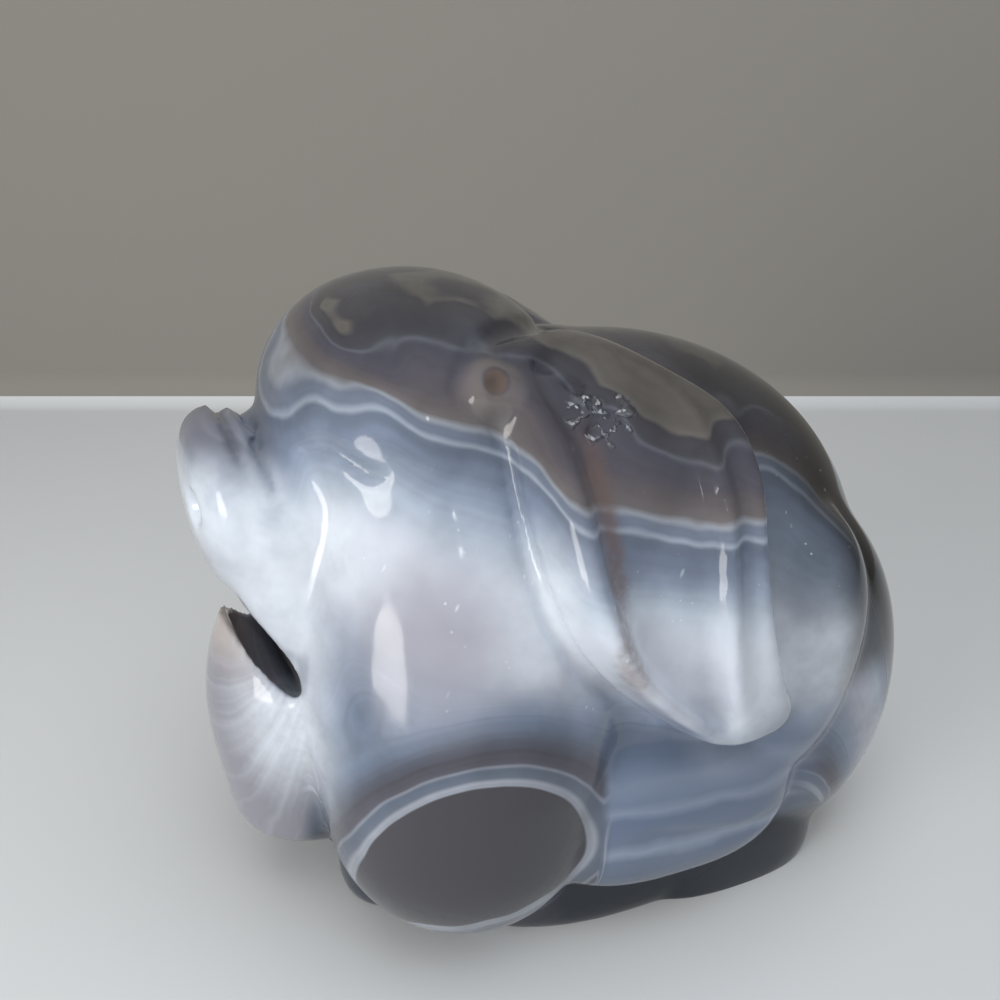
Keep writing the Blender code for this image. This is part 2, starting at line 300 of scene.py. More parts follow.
def tube(name, knots, radii, steps=40, sides=12):
    """A round bar along a smooth curve through the knots, its radius running through the radii."""
    path = [spline(knots, k / (steps - 1)) for k in range(steps)]
    across = None
    rings = []
    for k, place in enumerate(path):
        ahead = Vector(path[min(k + 1, steps - 1)] - path[max(k - 1, 0)]).normalized()
        start = across if across else ahead.orthogonal()
        across = (start - ahead * start.dot(ahead)).normalized()
        over = ahead.cross(across)
        radius = float(spline([[r] for r in radii], k / (steps - 1))[0])
        angles = np.linspace(0, 2 * math.pi, sides, endpoint=False)
        ring = [Vector(place) + radius * (math.cos(a) * across + math.sin(a) * over) for a in angles]
        rings.append([np.array(p) for p in ring])
    return loft(name, rings)


# %% Growing and cutting
def baked(obj):
    """The object's mesh with its modifiers worked in, and the modifiers gone."""
    bpy.context.view_layer.update()
    graph = bpy.context.evaluated_depsgraph_get()
    mesh = bpy.data.meshes.new_from_object(obj.evaluated_get(graph))
    obj.modifiers.clear()
    old = obj.data
    obj.data = mesh
    bpy.data.meshes.remove(old)
    return obj


def fused(name, forms, voxel, rubs):
    """The forms grown into one skin, then rubbed down: more rubs make softer joints."""
    shape = bmesh.new()
    for form in forms:
        shape.from_mesh(form.data)
        bpy.data.objects.remove(form, do_unlink=True)
    mesh = bpy.data.meshes.new(name)
    shape.to_mesh(mesh)
    shape.free()
    obj = new_object(name, mesh)
    skin = obj.modifiers.new("skin", "REMESH")
    skin.mode = "VOXEL"
    skin.voxel_size = voxel
    rub = obj.modifiers.new("rub", "SMOOTH")
    rub.factor = 0.5
    rub.iterations = rubs
    return baked(obj)


def cut_from(obj, cutters):
    for cutter in cutters:
        cut = obj.modifiers.new(cutter.name, "BOOLEAN")
        cut.operation = "DIFFERENCE"
        cut.object = cutter
        cut.solver = "EXACT"
    baked(obj)
    for cutter in cutters:
        bpy.data.objects.remove(cutter, do_unlink=True)
    return obj


def drop(name, knots, radii, count=10):
    """Balls strung along a curve, close enough to read as one tapering form."""
    balls = []
    for k in range(count):
        share = k / (count - 1)
        radius = float(spline([[r] for r in radii], share)[0])
        balls.append(pebble(name, spline(knots, share), (radius,) * 3))
    return balls


print("tools ready")

# %% [markdown]
# ## The body
#
# The pig sits, so its body is an egg that leans on a broad rump. Four overlapping pebbles give the barrel,
# the rump, the belly and the thick neck, and one more on each side is the buttock. They are fused with a
# coarse skin and many rubs, so that no pebble can be told apart afterwards.

# %% Body
BODY_TOP = 86.0
BODY_HALF_WIDTH = 36.0
RUMP_X = 66.0
COARSE = 1.3


def torso():
    middle_x = 14.0
    forms = [
        pebble("barrel", (middle_x, 0, 45), (RUMP_X - middle_x - 4, BODY_HALF_WIDTH, BODY_TOP - 45)),
        pebble("rump", (RUMP_X - 41, 0, 32), (41, BODY_HALF_WIDTH - 1, 32)),
        pebble("belly", (14, 0, 5), (36, 29, 12), square=0.8),
        pebble("neck", (8, 0, 62), (24, 31, 25)),
    ]
    forms += both_sides(pebble, "buttock", (40.5, -17, 32), (21, 18, 31))
    return fused("torso", forms, COARSE, 14)


def haunch(name):
    return pebble(name, (32.5, -21.0, 41.5), (14.0, 17.8, 24), (0, 16, 0), 0.88)


body_forms = [torso()] + both_sides(haunch, "haunch")
print("body:", len(body_forms[0].data.polygons), "faces")

# %% [markdown]
# ## The head
#
# Seen from the front the head is a pear: a domed forehead, and below it two cheeks that swell as they hang,
# almost down to the table. Each cheek is a string of balls whose radii follow a smooth curve. That gives the
# taut drop shape with very few numbers.

# %% Head
HEAD_TOP = 96.7
FACE_X = -35.5
CHEEK_Y = 18.0
CHEEK_BALL = 20.5


def head():
    forms = [
        pebble("forehead", (-14, 0, HEAD_TOP - 19), (-14 - FACE_X, 27, 19.5), square=0.94),
        pebble("skull", (-8, 0, 58), (26, 27, 32)),
    ]
    path = [(-11.5, -6.0, 72), (-11.5, -11.5, 58), (-12, -15, 42), (-14.0, -CHEEK_Y, CHEEK_BALL + 4.0)]
    for ball in drop("cheek", path, (20.4, 22.6, 24.3, CHEEK_BALL)):
        forms += [ball, mirrored(ball, "cheek_right")]
    return fused("head", forms, COARSE, 22)


head_forms = [head()]
print("head:", len(head_forms[0].data.polygons), "faces")

# %% [markdown]
# ## Snout and jaw
#
# The upper lip is a block that runs from the round nose disc back to the face, and its lower edge drops
# towards the corners of the mouth. A loft over superellipses suits it, because its section changes from a
# small round to a wide rounded square. The jaw is a deep cup, lofted upwards, whose rim dips at the sides.

# %% Snout
SNOUT_HEIGHT = 68.0
SNOUT_RADIUS = 12.8
SNOUT_LEAN = 6.0


def superellipse(count, fill):
    """Pairs that run round a rounded square of half width 1; a smaller fill makes it squarer."""
    pairs = []
    for a in np.linspace(0, 2 * math.pi, count, endpoint=False):
        pairs.append([math.copysign(abs(c) ** fill, c) for c in (math.cos(a), math.sin(a))])
    return pairs


def muzzle():
    stations = [(-43.0, 59.0, 75.0, 9.0), (-42.0, 56.0, 77.6, 11.5), (-39.5, 50.5, 78.4, 13.6),
                (-36.5, 45.5, 78.0, 15.0), (-32.5, 44.0, 78.0, 16.5), (-22.0, 44.0, 78.0, 17.0)]
    rings = []
    for k in range(31):
        x, low, high, half = spline(stations, k / 30)
        middle, reach = (high + low) / 2, (high - low) / 2
        rings.append([(x, half * c, middle + reach * s) for c, s in superellipse(48, 0.6)])
    return loft("muzzle", rings)


def nose_disc():
    turn = (0, -SNOUT_LEAN, 0)
    return pebble("disc", (-40.6, 0, SNOUT_HEIGHT), (6.0, SNOUT_RADIUS, SNOUT_RADIUS), turn, 0.85)


head_forms += [muzzle(), nose_disc()]
print("snout made")

# %% Jaw
JAW_RIM = 51.0


def jaw():
    levels = [(12, -39.0, 6.5), (16, -43.6, 10.5), (25, -45.7, 13.5), (36, -46.8, 15.5),
              (45, -45.4, 15.4), (JAW_RIM + 1.5, -42.4, 13.5)]
    back = -28.0
    rings = []
    for k in range(25):
        height, front, half = spline(levels, k / 24)
        ring = []
        for a in np.linspace(0, 2 * math.pi, 40, endpoint=False):
            along = math.copysign(abs(math.cos(a)) ** 0.8, math.cos(a))
            dip = 6.5 * (1 - max(0.0, along) ** 2) * max(0.0, (height - 40) / 12)
            ring.append((back + (front - back) * along, half * math.sin(a), height - dip))
        rings.append(ring)
    return loft("jaw", rings)


head_forms.append(jaw())
print("jaw made")

# %% [markdown]
# ## The ears
#
# Each ear is a thick leaf that lies over the shoulder and points down and back. It isn't flat: the front
# edge is rolled like a lip, behind it runs a valley, then a shallow scoop, and the back edge ends in a
# raised strip that widens towards the tip. A grid between two edge curves carries that profile, because
# each of these features keeps its distance from an edge. The inner side is sunk deep into the shoulder.

# %% Ears
EAR_OUT = 6.0
EAR_REACH = 60.0
LAP = 12.0
EAR_ROOT = (-11.9, -23.5, 86.2)
EAR_FRONT = [(-5.5, 90.4), (-11.8, 88.6), (-12.6, 85.6), (-11, 80), (-10.3, 72), (-9.5, 64), (-6, 55),
             (1, 47), (10, 39.5), (17.5, 36.8)]
EAR_BACK = [(-1.5, 91), (6, 90), (13.2, 86.4), (19.6, 81.6), (21.4, 74.6), (20.4, 65), (21.2, 56),
            (24.2, 46.5), (27.6, 40.0), (24.5, 36.6)]


def side_of_head(x, z):
    """How far out from the middle the surface under the ear lies."""
    inward = ((x - 4.0) / 60.0) ** 2 + ((z - 54.0) / (40.0 if z > 54.0 else 60.0)) ** 2
    return 37.0 * math.sqrt(max(0.05, 1 - inward))


def ear_relief(from_front, from_back, ends, share):
    """How far the ear stands out there, in millimetres, over the side of the head."""
    roll = math.exp(-(((from_front - 4.4) / 3.3) ** 2))
    strip = 1.4 + 11.8 * share**1.3 + 3.0 * math.exp(-(((share - 0.38) / 0.13) ** 2))
    inside = max(0.0, from_back - strip)
    rim = math.exp(-((inside / 1.1) ** 2))
    scoop = 0.34 + 0.26 * math.exp(-inside / 7.0)
    top = 0.4 + 0.6 * math.exp(-(((share * EAR_REACH - 3.0) / 2.6) ** 2))
    tip = min(1.0, max(0.0, (share - 0.80) / 0.14))
    hollow = max(roll, rim, scoop, top)
    valley = min(1.0, max(0.0, 3.4 - 4 * share)) * (from_back < strip)
    hollow -= 0.3 * valley * math.exp(-(((from_back / strip - 0.55) / 0.25) ** 2))
    hollow += (0.95 - hollow) * tip * tip * (3 - 2 * tip)
    edge = min(1.0, from_front / 2.6, from_back / 1.8, ends / 2.6)
    rounded = math.sqrt(max(0.0, 1 - (1 - edge) ** 2))
    lift = 1.0 + 0.25 * share + 0.16 * math.exp(-from_back / 6.0)
    return EAR_OUT * lift * rounded * hollow


def ear(name):
    rows, columns = 90, 60
    outer, inner = [], []
    for i in range(rows):
        share = i / (rows - 1)
        a, b = spline(EAR_FRONT, share), spline(EAR_BACK, share)
        width = np.linalg.norm(b - a)
        ends = min(share, 1 - share) * EAR_REACH
        for j in range(columns):
            across = j / (columns - 1)
            x, z = a + (b - a) * across
            relief = ear_relief(width * across, width * (1 - across), ends, share)
            crown = min(1.0, max(0.0, (z - 80.0) / 9.0))
            outer.append((x, -side_of_head(x, z) - relief, z))
            inner.append((x, -side_of_head(x, z) + LAP - 7.0 * crown, z - 2.0 * crown))
    count = rows * columns
    faces = []
    for i in range(rows - 1):
        for j in range(columns - 1):
            k = i * columns + j
            faces.append((k, k + 1, k + 1 + columns, k + columns))
            faces.append((count + k + columns, count + k + 1 + columns, count + k + 1, count + k))
    border = [j for j in range(columns)]
    border += [i * columns + columns - 1 for i in range(1, rows)]
    border += [(rows - 1) * columns + j for j in range(columns - 2, -1, -1)]
    border += [i * columns for i in range(rows - 2, 0, -1)]
    for a, b in zip(border, border[1:] + border[:1]):
        faces.append((a, b, count + b, count + a))
    return new_object(name, mesh_of(name, outer + inner, faces))


def ear_root(name):
    """The knob from which the rolled edge starts."""
    return pebble(name, EAR_ROOT, (3.7, 3.5, 3.5))


ear_forms = both_sides(ear, "ear") + both_sides(ear_root, "ear_root")
print("ears:", 2 * len(ear_forms[0].data.polygons), "faces")

# %% [markdown]
# ## Legs and tail
#
# The legs are tucked under the pig. Only a slab of foreleg shows behind each cheek, a hind foot behind it,
# and two small hooves under the jaw. The photograph doesn't show the tail, so it is a plain short curl
# lying against the rump, the usual one on such carvings.

# %% Legs and tail
def foreleg(name):
    return pebble(name, (13.5, -25.5, 24.5), (22.5, 13, 15), (0, 3, 0), 0.72)


def hind_foot(name):
    return pebble(name, (29.5, -20, 5), (18, 10.3, 11), square=0.75)


def rump_at(z):
    """How far back the rump's middle line reaches at this height."""
    return 14.0 + (RUMP_X - 18.0) * math.sqrt(1 - ((z - 45.0) / (BODY_TOP - 45.0)) ** 2)


def tail():
    middle_z = 50.0
    curl = 6.5
    knots = []
    for k in range(9):
        angle = math.radians(-110 + 45 * k)
        radius = curl * (1 - 0.07 * k)
        z = middle_z + radius * math.sin(angle)
        knots.append((rump_at(z) + 0.5, radius * math.cos(angle), z))
    return tube("tail", knots, (3.4, 3.4, 3.2, 2.8, 2.0))


leg_forms = both_sides(foreleg, "foreleg") + both_sides(hind_foot, "hind_foot")
leg_forms += both_sides(pebble, "hoof", (-20, -7, 7), (10.5, 7, 9), square=0.85)
leg_forms.append(tail())
print("legs and tail:", len(leg_forms), "forms")

# %% [markdown]
# ## One skin
#
# Now the whole pig is grown into one skin, a little finer than its parts were.

# %% Grow the pig
FINE = 0.9
pig = fused("pig_stone", body_forms + head_forms + ear_forms + leg_forms, FINE, 3)
print("pig:", len(pig.data.polygons), "faces")

# %% [markdown]
# ## Carved lines
#
# The closed, smiling eye is one thin crease under a brow. Two grooves cross the bridge of the snout, the
# mouth is a flat pocket behind the lower lip, and the nostrils are two small pits. Each is a tube or a
# pebble taken away with a Boolean, and a last fine skin then softens the cut's edges as polishing does.

# %% Cut the lines
def mouth():
    slot = pebble("mouth_slot", (-38.8, 0, JAW_RIM - 3.3), (9, 15.5, 2.3), (0, 58, 0), 0.75)
    throat = pebble("mouth_throat", (-36.5, 0, JAW_RIM - 6.0), (6.5, 11, 4.6), (0, 0, 0), 0.9)
    return [slot, throat]


def eye_crease(name):
    knots = [(-33.7, -12, 77.2), (-31.6, -16.8, 79.3), (-29.5, -19.6, 78.2), (-27.4, -21.8, 76.8),
             (-25, -24, 77.2)]
    return tube(name, knots, (0.9, 1.3, 1.3, 1.2, 0.6))


def wrinkles():
    behind_disc = [(-40.7, 0, 80.2), (-40.6, -4.6, 79.6), (-40.2, -10, 76.8), (-39.6, -12.6, 73)]
    before_brow = [(-37.2, 0, 78.2), (-37.4, -5, 77.8), (-37.4, -9.8, 76.8), (-36.6, -13.6, 73),
                   (-36.2, -15.2, 70)]
    grooves = []
    for half in (behind_disc, before_brow):
        other = [(x, -y, z) for x, y, z in half[:0:-1]]
        grooves.append(tube("wrinkle", other + half, (0.5, 1.0, 1.0, 1.0, 0.5)))
    return grooves


def on_skin(stone, x, z, lift):
    """The point this far outside the stone's left skin, found from the side at X and Z."""
    place, normal = stone.ray_cast((x, -200, z), (0, 1, 0))[1:3]
    return place + normal * lift


def ear_pit(name, stone):
    return pebble(name, on_skin(stone, EAR_ROOT[0], EAR_ROOT[2] + 1.6, 0.5), (1.9, 1.9, 1.9))


def ear_groove(name, stone):
    """The crease that parts the ear's rolled edge from the neck and the cheek."""
    knots = []
    for share in np.linspace(0.26, 0.86, 9):
        x, z = spline(EAR_FRONT, share)
        knots.append(on_skin(stone, x - 0.6, z - 0.4 * share, 0.4))
    return tube(name, knots, (1.0, 1.3, 1.5, 1.5, 1.0))


def crown_groove(name):
    """The valley between the back of the head and the ear, which runs on round the knob."""
    knots = [(9.5, 1.5, 88.4), (4.5, -7.5, 89.9), (0.2, -12.6, 91.6), (-4.8, -16.4, 92.4),
             (-9.6, -19.2, 92.2), (-13.6, -21.6, 91.0), (-16.4, -23.9, 88.2), (-16.2, -25.9, 85.2),
             (-14.2, -27.2, 83.0)]
    return tube(name, knots, (2.4, 2.4, 2.2, 1.9, 1.5, 1.3, 1.3), 60)


def chip(name, stone):
    """Small bites along a natural crack near the root of the left ear."""
    bites = [(-3.6, 87.8, (2.0, 1.2, 0.9), 20), (-1.0, 85.9, (2.2, 1.4, 1.1), 35),
             (1.2, 83.8, (2.4, 1.4, 1.2), 45), (0.0, 81.6, (1.3, 1.1, 2.4), 10)]
    places = [on_skin(stone, x, z, 0.1) for x, z, radii, turn in bites]
    shapes = [(radii, turn) for x, z, radii, turn in bites]
    return [pebble(name, place, radii, (0, turn, 0), 0.7) for place, (radii, turn) in zip(places, shapes)]


def slab_fold(name):
    """A shallow channel along the foreleg, from the cheek to its rear end."""
    knots = [(0, -39.8, 23.6), (8, -40.6, 22.8), (15, -40.7, 20.6), (22, -40.4, 18.9), (31, -38.6, 19.4)]
    return tube(name, knots, (2.0, 3.0, 3.2, 3.2, 2.6))


bpy.context.view_layer.update()
cutters = mouth() + wrinkles() + both_sides(eye_crease, "eye_crease")
cutters += both_sides(slab_fold, "slab_fold") + both_sides(crown_groove, "crown_groove")
cutters += both_sides(ear_groove, "ear_groove", pig) + both_sides(ear_pit, "ear_pit", pig)
cutters += chip("chip", pig)
cutters += both_sides(pebble, "nostril", (-47.0, -5.6, 69.5), (2.6, 2.0, 2.8))
cut_from(pig, cutters)
print("after the cuts:", len(pig.data.polygons), "faces")

# %% Polish and flatten the base
CRISP = 0.71


def ground_cutter():
    shape = bmesh.new()
    bmesh.ops.create_cube(shape, size=400.0)
    bmesh.ops.translate(shape, verts=shape.verts, vec=(0, 0, -200.0))
    mesh = bpy.data.meshes.new("ground")
    shape.to_mesh(mesh)
    shape.free()
    return new_object("ground", mesh)


pig = fused("pig_stone", [pig], CRISP, 2)
cut_from(pig, [ground_cutter()])
pig.data.transform(Matrix.Scale(MM, 4))
pig.data.shade_smooth()
triangles = sum(len(face.vertices) - 2 for face in pig.data.polygons)
print("finished stone:", triangles, "triangles")

# %% [markdown]
# ## Node helpers
#
# The agate pattern is long arithmetic on positions, so a few short functions write the nodes. Each takes
# sockets or plain numbers and returns an output socket, which lets a formula read almost like a formula.

# %% Node helpers
def put(tree, socket, value):
    """Feeds a socket with another socket, or sets it to a constant."""
    if isinstance(value, bpy.types.NodeSocket):
        tree.links.new(value, socket)
    else:
        socket.default_value = value


def calc(tree, operation, *values):
    node = tree.nodes.new("ShaderNodeMath")
    node.operation = operation
    for socket, value in zip(node.inputs, values):
        put(tree, socket, value)
    return node.outputs[0]


def vector_calc(tree, operation, *values):
    node = tree.nodes.new("ShaderNodeVectorMath")
    node.operation = operation
    for socket, value in zip(node.inputs, values):
        put(tree, socket, value)
    return node.outputs["Value" if operation in ("DOT_PRODUCT", "LENGTH", "DISTANCE") else "Vector"]


def fade(tree, value, start, end, low=0.0, high=1.0):
    """Runs smoothly from low to high as the value goes from start to end."""
    node = tree.nodes.new("ShaderNodeMapRange")
    node.interpolation_type = "SMOOTHSTEP"
    for socket, given in (("From Min", start), ("From Max", end), ("To Min", low), ("To Max", high)):
        put(tree, node.inputs[socket], given)
    put(tree, node.inputs["Value"], value)
    return node.outputs["Result"]


def noise(tree, position, size, detail=2.0, roughness=0.5, spread=2.0):
    """Smooth noise between about -spread / 2 and spread / 2, its lumps of the given size."""
    node = tree.nodes.new("ShaderNodeTexNoise")
    put(tree, node.inputs["Vector"], position)
    node.inputs["Scale"].default_value = 1.0 / size
    node.inputs["Detail"].default_value = detail
    node.inputs["Roughness"].default_value = roughness
    centred = calc(tree, "SUBTRACT", node.outputs["Fac"], 0.5)
    return calc(tree, "MULTIPLY", centred, spread)


def bump_at(tree, position, centre, radii):
    """One at the centre, falling to nothing at an ellipsoid of about these radii."""
    offset = vector_calc(tree, "SUBTRACT", position, centre)
    scaled = vector_calc(tree, "DIVIDE", offset, radii)
    return fade(tree, vector_calc(tree, "LENGTH", scaled), 1.0, 0.0)


def mixed(tree, share, first, second, blend="MIX"):
    node = tree.nodes.new("ShaderNodeMix")
    node.data_type = "RGBA"
    node.blend_type = blend
    put(tree, node.inputs[0], share)
    put(tree, node.inputs[6], first)
    put(tree, node.inputs[7], second)
    return node.outputs[2]


def ramp(tree, value, stops):
    """Colours by value, from pairs of place and colour."""
    node = tree.nodes.new("ShaderNodeValToRGB")
    put(tree, node.inputs[0], value)
    strip = node.color_ramp
    while len(strip.elements) > 1:
        strip.elements.remove(strip.elements[-1])
    strip.elements[0].position = stops[0][0]
    strip.elements[0].color = (*stops[0][1], 1.0)
    for place, colour in stops[1:]:
        strip.elements.new(place).color = (*colour, 1.0)
    return node.outputs["Color"]


def new_group(name, inputs, outputs):
    """An empty node group with its named sockets, its input node and its output node."""
    group = bpy.data.node_groups.new(name, "ShaderNodeTree")
    for way, sockets in (("INPUT", inputs), ("OUTPUT", outputs)):
        for socket_name, kind in sockets:
            group.interface.new_socket(name=socket_name, in_out=way, socket_type="NodeSocket" + kind)
    return group, group.nodes.new("NodeGroupInput"), group.nodes.new("NodeGroupOutput")


print("node helpers ready")

# %% [markdown]
# ## The height of a layer
#
# Agate is laid down layer on layer on the wall of a cavity, so the pattern is a solid one: every point of
# the stone belongs to some layer, and the carving only shows where its skin cuts through them. This group
# turns a position into the height of its layer. The layers lean, dip and rise here and there, and near the
# cavity's wall they are crinkled, as botryoidal agate is. Noise bends all of them a little.

# %% Layer height
LAYER_TILT = (0.25, -0.18, 0.95)


def total(tree, *values):
    whole = values[0]
    for value in values[1:]:
        whole = calc(tree, "ADD", whole, value)
    return whole


def product(tree, *values):
    whole = values[0]
    for value in values[1:]:
        whole = calc(tree, "MULTIPLY", whole, value)
    return whole


def hill(tree, value, centre, width, height=1.0):
    """A smooth hill of this height where the value is near the centre."""
    away = calc(tree, "DIVIDE", calc(tree, "SUBTRACT", value, centre), width)
    return product(tree, calc(tree, "EXPONENT", product(tree, away, away, -1.0)), height)


def split_of(tree, place):
    split = tree.nodes.new("ShaderNodeSeparateXYZ")
    put(tree, split.inputs[0], place)
    return split.outputs


def layer_height_group():
    group, given, made = new_group("layer height", [("Position", "Vector")], [("Height", "Float")])
    place = given.outputs["Position"]
    x, _, z = split_of(group, place)
    flat = vector_calc(group, "DOT_PRODUCT", place, LAYER_TILT)
    high = fade(group, flat, 79.0, 83.5)
    middle = calc(group, "MULTIPLY", calc(group, "SUBTRACT", 1.0, high), fade(group, z, 56.0, 66.0))
    waves = total(
        group,
        fade(group, x, -30.5, -37.5, 0.0, 9.5),
        hill(group, x, -25.0, 3.2, -2.4),
        hill(group, x, -16.0, 8.0, -1.7),
        calc(group, "MULTIPLY", fade(group, x, -9.5, -7.0, 0.0, 2.0), fade(group, x, 16.0, 10.0)),
        hill(group, x, 29.0, 6.0, -3.5),
    )
    crest = total(
        group,
        fade(group, x, -20.0, -29.0, 0.0, 6.8),
        hill(group, x, -10.0, 7.0, -2.4),
        fade(group, x, -2.0, 1.0, 0.0, 1.0),
        hill(group, x, 9.0, 4.5, 3.0),
    )
    behind = calc(group, "MAXIMUM", calc(group, "SUBTRACT", x, 35.0), 0.0)
    jaw_lift = calc(group, "MULTIPLY", fade(group, x, -30.0, -38.0, 0.0, 16.0), fade(group, z, 64.0, 46.0))
    cells = group.nodes.new("ShaderNodeTexVoronoi")
    cells.feature = "SMOOTH_F1"
    put(group, cells.inputs["Vector"], place)
    cells.inputs["Scale"].default_value = 1.0 / 7.5
    cells.inputs["Smoothness"].default_value = 0.15
    scallop = product(group, calc(group, "SUBTRACT", cells.outputs["Distance"], 0.75), 3.2, high)
    height = total(
        group, flat, calc(group, "MULTIPLY", waves, middle), calc(group, "MULTIPLY", crest, high), jaw_lift,
        scallop, product(group, behind, behind, 0.08), noise(group, place, 20.0, 1.0, 0.4, 0.5),
        noise(group, place, 5.0, 1.5, 0.5, 1.1),
    )
    put(group, made.inputs["Height"], height)
    return group


layer_height = layer_height_group()
print("layer height:", len(layer_height.nodes), "nodes")

# %% [markdown]
# ## The eye in the cheek
#
# Where a pebble or a crystal once grew, the layers run round it in rings. Carvers like to put such an eye
# on the bulge of a cheek. This group measures how many radii a point lies from the eye's slanted axis. The
# rings are kept as heights, so that they take their colours from the same layers as everything else.

# %% Eye of agate
EYE_CENTRE = (-19.4, -36.0, 26.9)
EYE_DRIFT = (0.264, -0.891)
EYE_RADII = (16.4, 10.6)
EYE_TURN = -0.251
EYE_EDGE_LEVEL = 33.4
LEVELS_PER_RADIUS = 13.0


def cheek_eye_group():
    sockets = [("Position", "Vector"), ("Height", "Float")]
    group, given, made = new_group("cheek eye", sockets, [("Height", "Float"), ("Inside", "Float")])
    place = given.outputs["Position"]
    x, y, z = split_of(group, place)
    depth = calc(group, "SUBTRACT", y, EYE_CENTRE[1])
    along = total(group, x, -EYE_CENTRE[0], product(group, depth, -EYE_DRIFT[0]))
    up = total(group, z, -EYE_CENTRE[2], product(group, depth, -EYE_DRIFT[1]))
    cosine, sine = math.cos(EYE_TURN), math.sin(EYE_TURN)
    long_radius, short_radius = EYE_RADII
    major = total(group, product(group, along, cosine / long_radius), product(group, up, sine / long_radius))
    minor = total(group, product(group, up, cosine / short_radius), product(group, along, -sine / short_radius))
    square = calc(group, "ADD", product(group, major, major), product(group, minor, minor))
    radii = calc(group, "ADD", calc(group, "SQRT", square), noise(group, place, 8.0, 1.0, 0.5, 0.09))
    beyond_edge = calc(group, "SUBTRACT", radii, 1.0)
    ring = calc(group, "ADD", product(group, beyond_edge, LEVELS_PER_RADIUS), EYE_EDGE_LEVEL)
    on_cheek = calc(group, "MULTIPLY", fade(group, x, 0.8, -1.2), fade(group, y, -12.0, -19.0))
    share = calc(group, "MULTIPLY", on_cheek, fade(group, radii, 2.7, 1.8))
    blend = group.nodes.new("ShaderNodeMix")
    put(group, blend.inputs[0], share)
    put(group, blend.inputs[2], given.outputs["Height"])
    put(group, blend.inputs[3], ring)
    put(group, made.inputs["Height"], blend.outputs[0])
    put(group, made.inputs["Inside"], calc(group, "MULTIPLY", on_cheek, fade(group, radii, 1.01, 0.98)))
    return group


cheek_eye = cheek_eye_group()
print("cheek eye:", len(cheek_eye.nodes), "nodes")

# %% [markdown]
# ## The colours of the layers
#
# A colour ramp over the layer height gives the broad bands, from the navy base up to the brown crust on
# the forehead. Between them lie the thin pale lines that make agate agate. Many finer lines are added on
# top, stronger in the blue layers and almost gone in the milky ones.

# %% Banded colour
MIDDLE_LEVEL = 55
TOP_LEVEL = 100
LOWER_BANDS = [
    (0, (0.010, 0.013, 0.018)), (12, (0.022, 0.028, 0.040)), (20, (0.050, 0.066, 0.098)),
    (30, (0.085, 0.105, 0.145)), (33.0, (0.080, 0.095, 0.125)), (33.5, (0.230, 0.250, 0.290)),
    (34.3, (0.250, 0.270, 0.310)), (34.9, (0.095, 0.115, 0.155)), (36.5, (0.080, 0.100, 0.140)),
    (36.9, (0.200, 0.220, 0.265)), (37.4, (0.062, 0.060, 0.080)), (39.5, (0.044, 0.044, 0.060)),
    (42.0, (0.072, 0.085, 0.120)), (45.0, (0.120, 0.155, 0.220)), (49, (0.210, 0.245, 0.315)),
    (55, (0.330, 0.345, 0.400)),
]
UPPER_BANDS = [
    (55, (0.330, 0.345, 0.400)), (61, (0.360, 0.380, 0.440)), (66, (0.330, 0.380, 0.450)),
    (69.5, (0.225, 0.270, 0.345)),
    (73.0, (0.145, 0.175, 0.240)), (74.9, (0.110, 0.135, 0.180)), (75.4, (0.250, 0.285, 0.340)),
    (76.0, (0.125, 0.150, 0.200)), (76.8, (0.130, 0.150, 0.195)), (77.3, (0.215, 0.235, 0.265)),
    (78.0, (0.112, 0.102, 0.104)), (79.5, (0.090, 0.080, 0.084)), (81.5, (0.068, 0.064, 0.080)),
    (83.8, (0.058, 0.059, 0.076)), (84.3, (0.094, 0.098, 0.116)), (84.8, (0.050, 0.050, 0.060)),
    (87.0, (0.042, 0.041, 0.047)), (87.5, (0.098, 0.092, 0.084)), (88.4, (0.080, 0.073, 0.066)),
    (94.0, (0.074, 0.067, 0.060)), (100, (0.062, 0.057, 0.051)),
]


def scaled(tree, colour, gain):
    node = tree.nodes.new("ShaderNodeVectorMath")
    node.operation = "SCALE"
    put(tree, node.inputs[0], colour)
    put(tree, node.inputs["Scale"], gain)
    return node.outputs[0]


def bands_between(tree, height, bottom, top, bands):
    """The ramp of these bands, squeezed to the range of heights they span."""
    share = calc(tree, "DIVIDE", calc(tree, "SUBTRACT", height, bottom), top - bottom)
    return ramp(tree, share, [((level - bottom) / (top - bottom), colour) for level, colour in bands])


def banded_colour_group():
    sockets = [("Height", "Float"), ("Position", "Vector")]
    group, given, made = new_group("banded colour", sockets, [("Colour", "Color")])
    height, place = given.outputs["Height"], given.outputs["Position"]
    lower = bands_between(group, height, 0, MIDDLE_LEVEL, LOWER_BANDS)
    upper = bands_between(group, height, MIDDLE_LEVEL, TOP_LEVEL, UPPER_BANDS)
    broad = mixed(group, calc(group, "GREATER_THAN", height, MIDDLE_LEVEL), lower, upper)
    strand = group.nodes.new("ShaderNodeCombineXYZ")
    put(group, strand.inputs[2], height)
    fine = calc(group, "ADD", noise(group, strand.outputs[0], 1.1, 3.0, 0.6, 2.0),
                noise(group, strand.outputs[0], 4.0, 1.0, 0.5, 1.2))
    calm = fade(group, height, 46.0, 54.0, 1.0, 0.2)
    calm = calc(group, "ADD", calm, fade(group, height, 65.0, 72.0, 0.0, 0.5))
    patchy = fade(group, noise(group, place, 14.0), -0.4, 0.4, 0.3, 1.0)
    gain = calc(group, "ADD", 1.0, product(group, fine, calm, patchy, 0.42))
    cloudy = fade(group, noise(group, place, 9.0, 3.0, 0.55), -0.5, 0.5, 0.84, 1.16)
    put(group, made.inputs["Colour"], scaled(group, broad, calc(group, "MULTIPLY", gain, cloudy)))
    return group


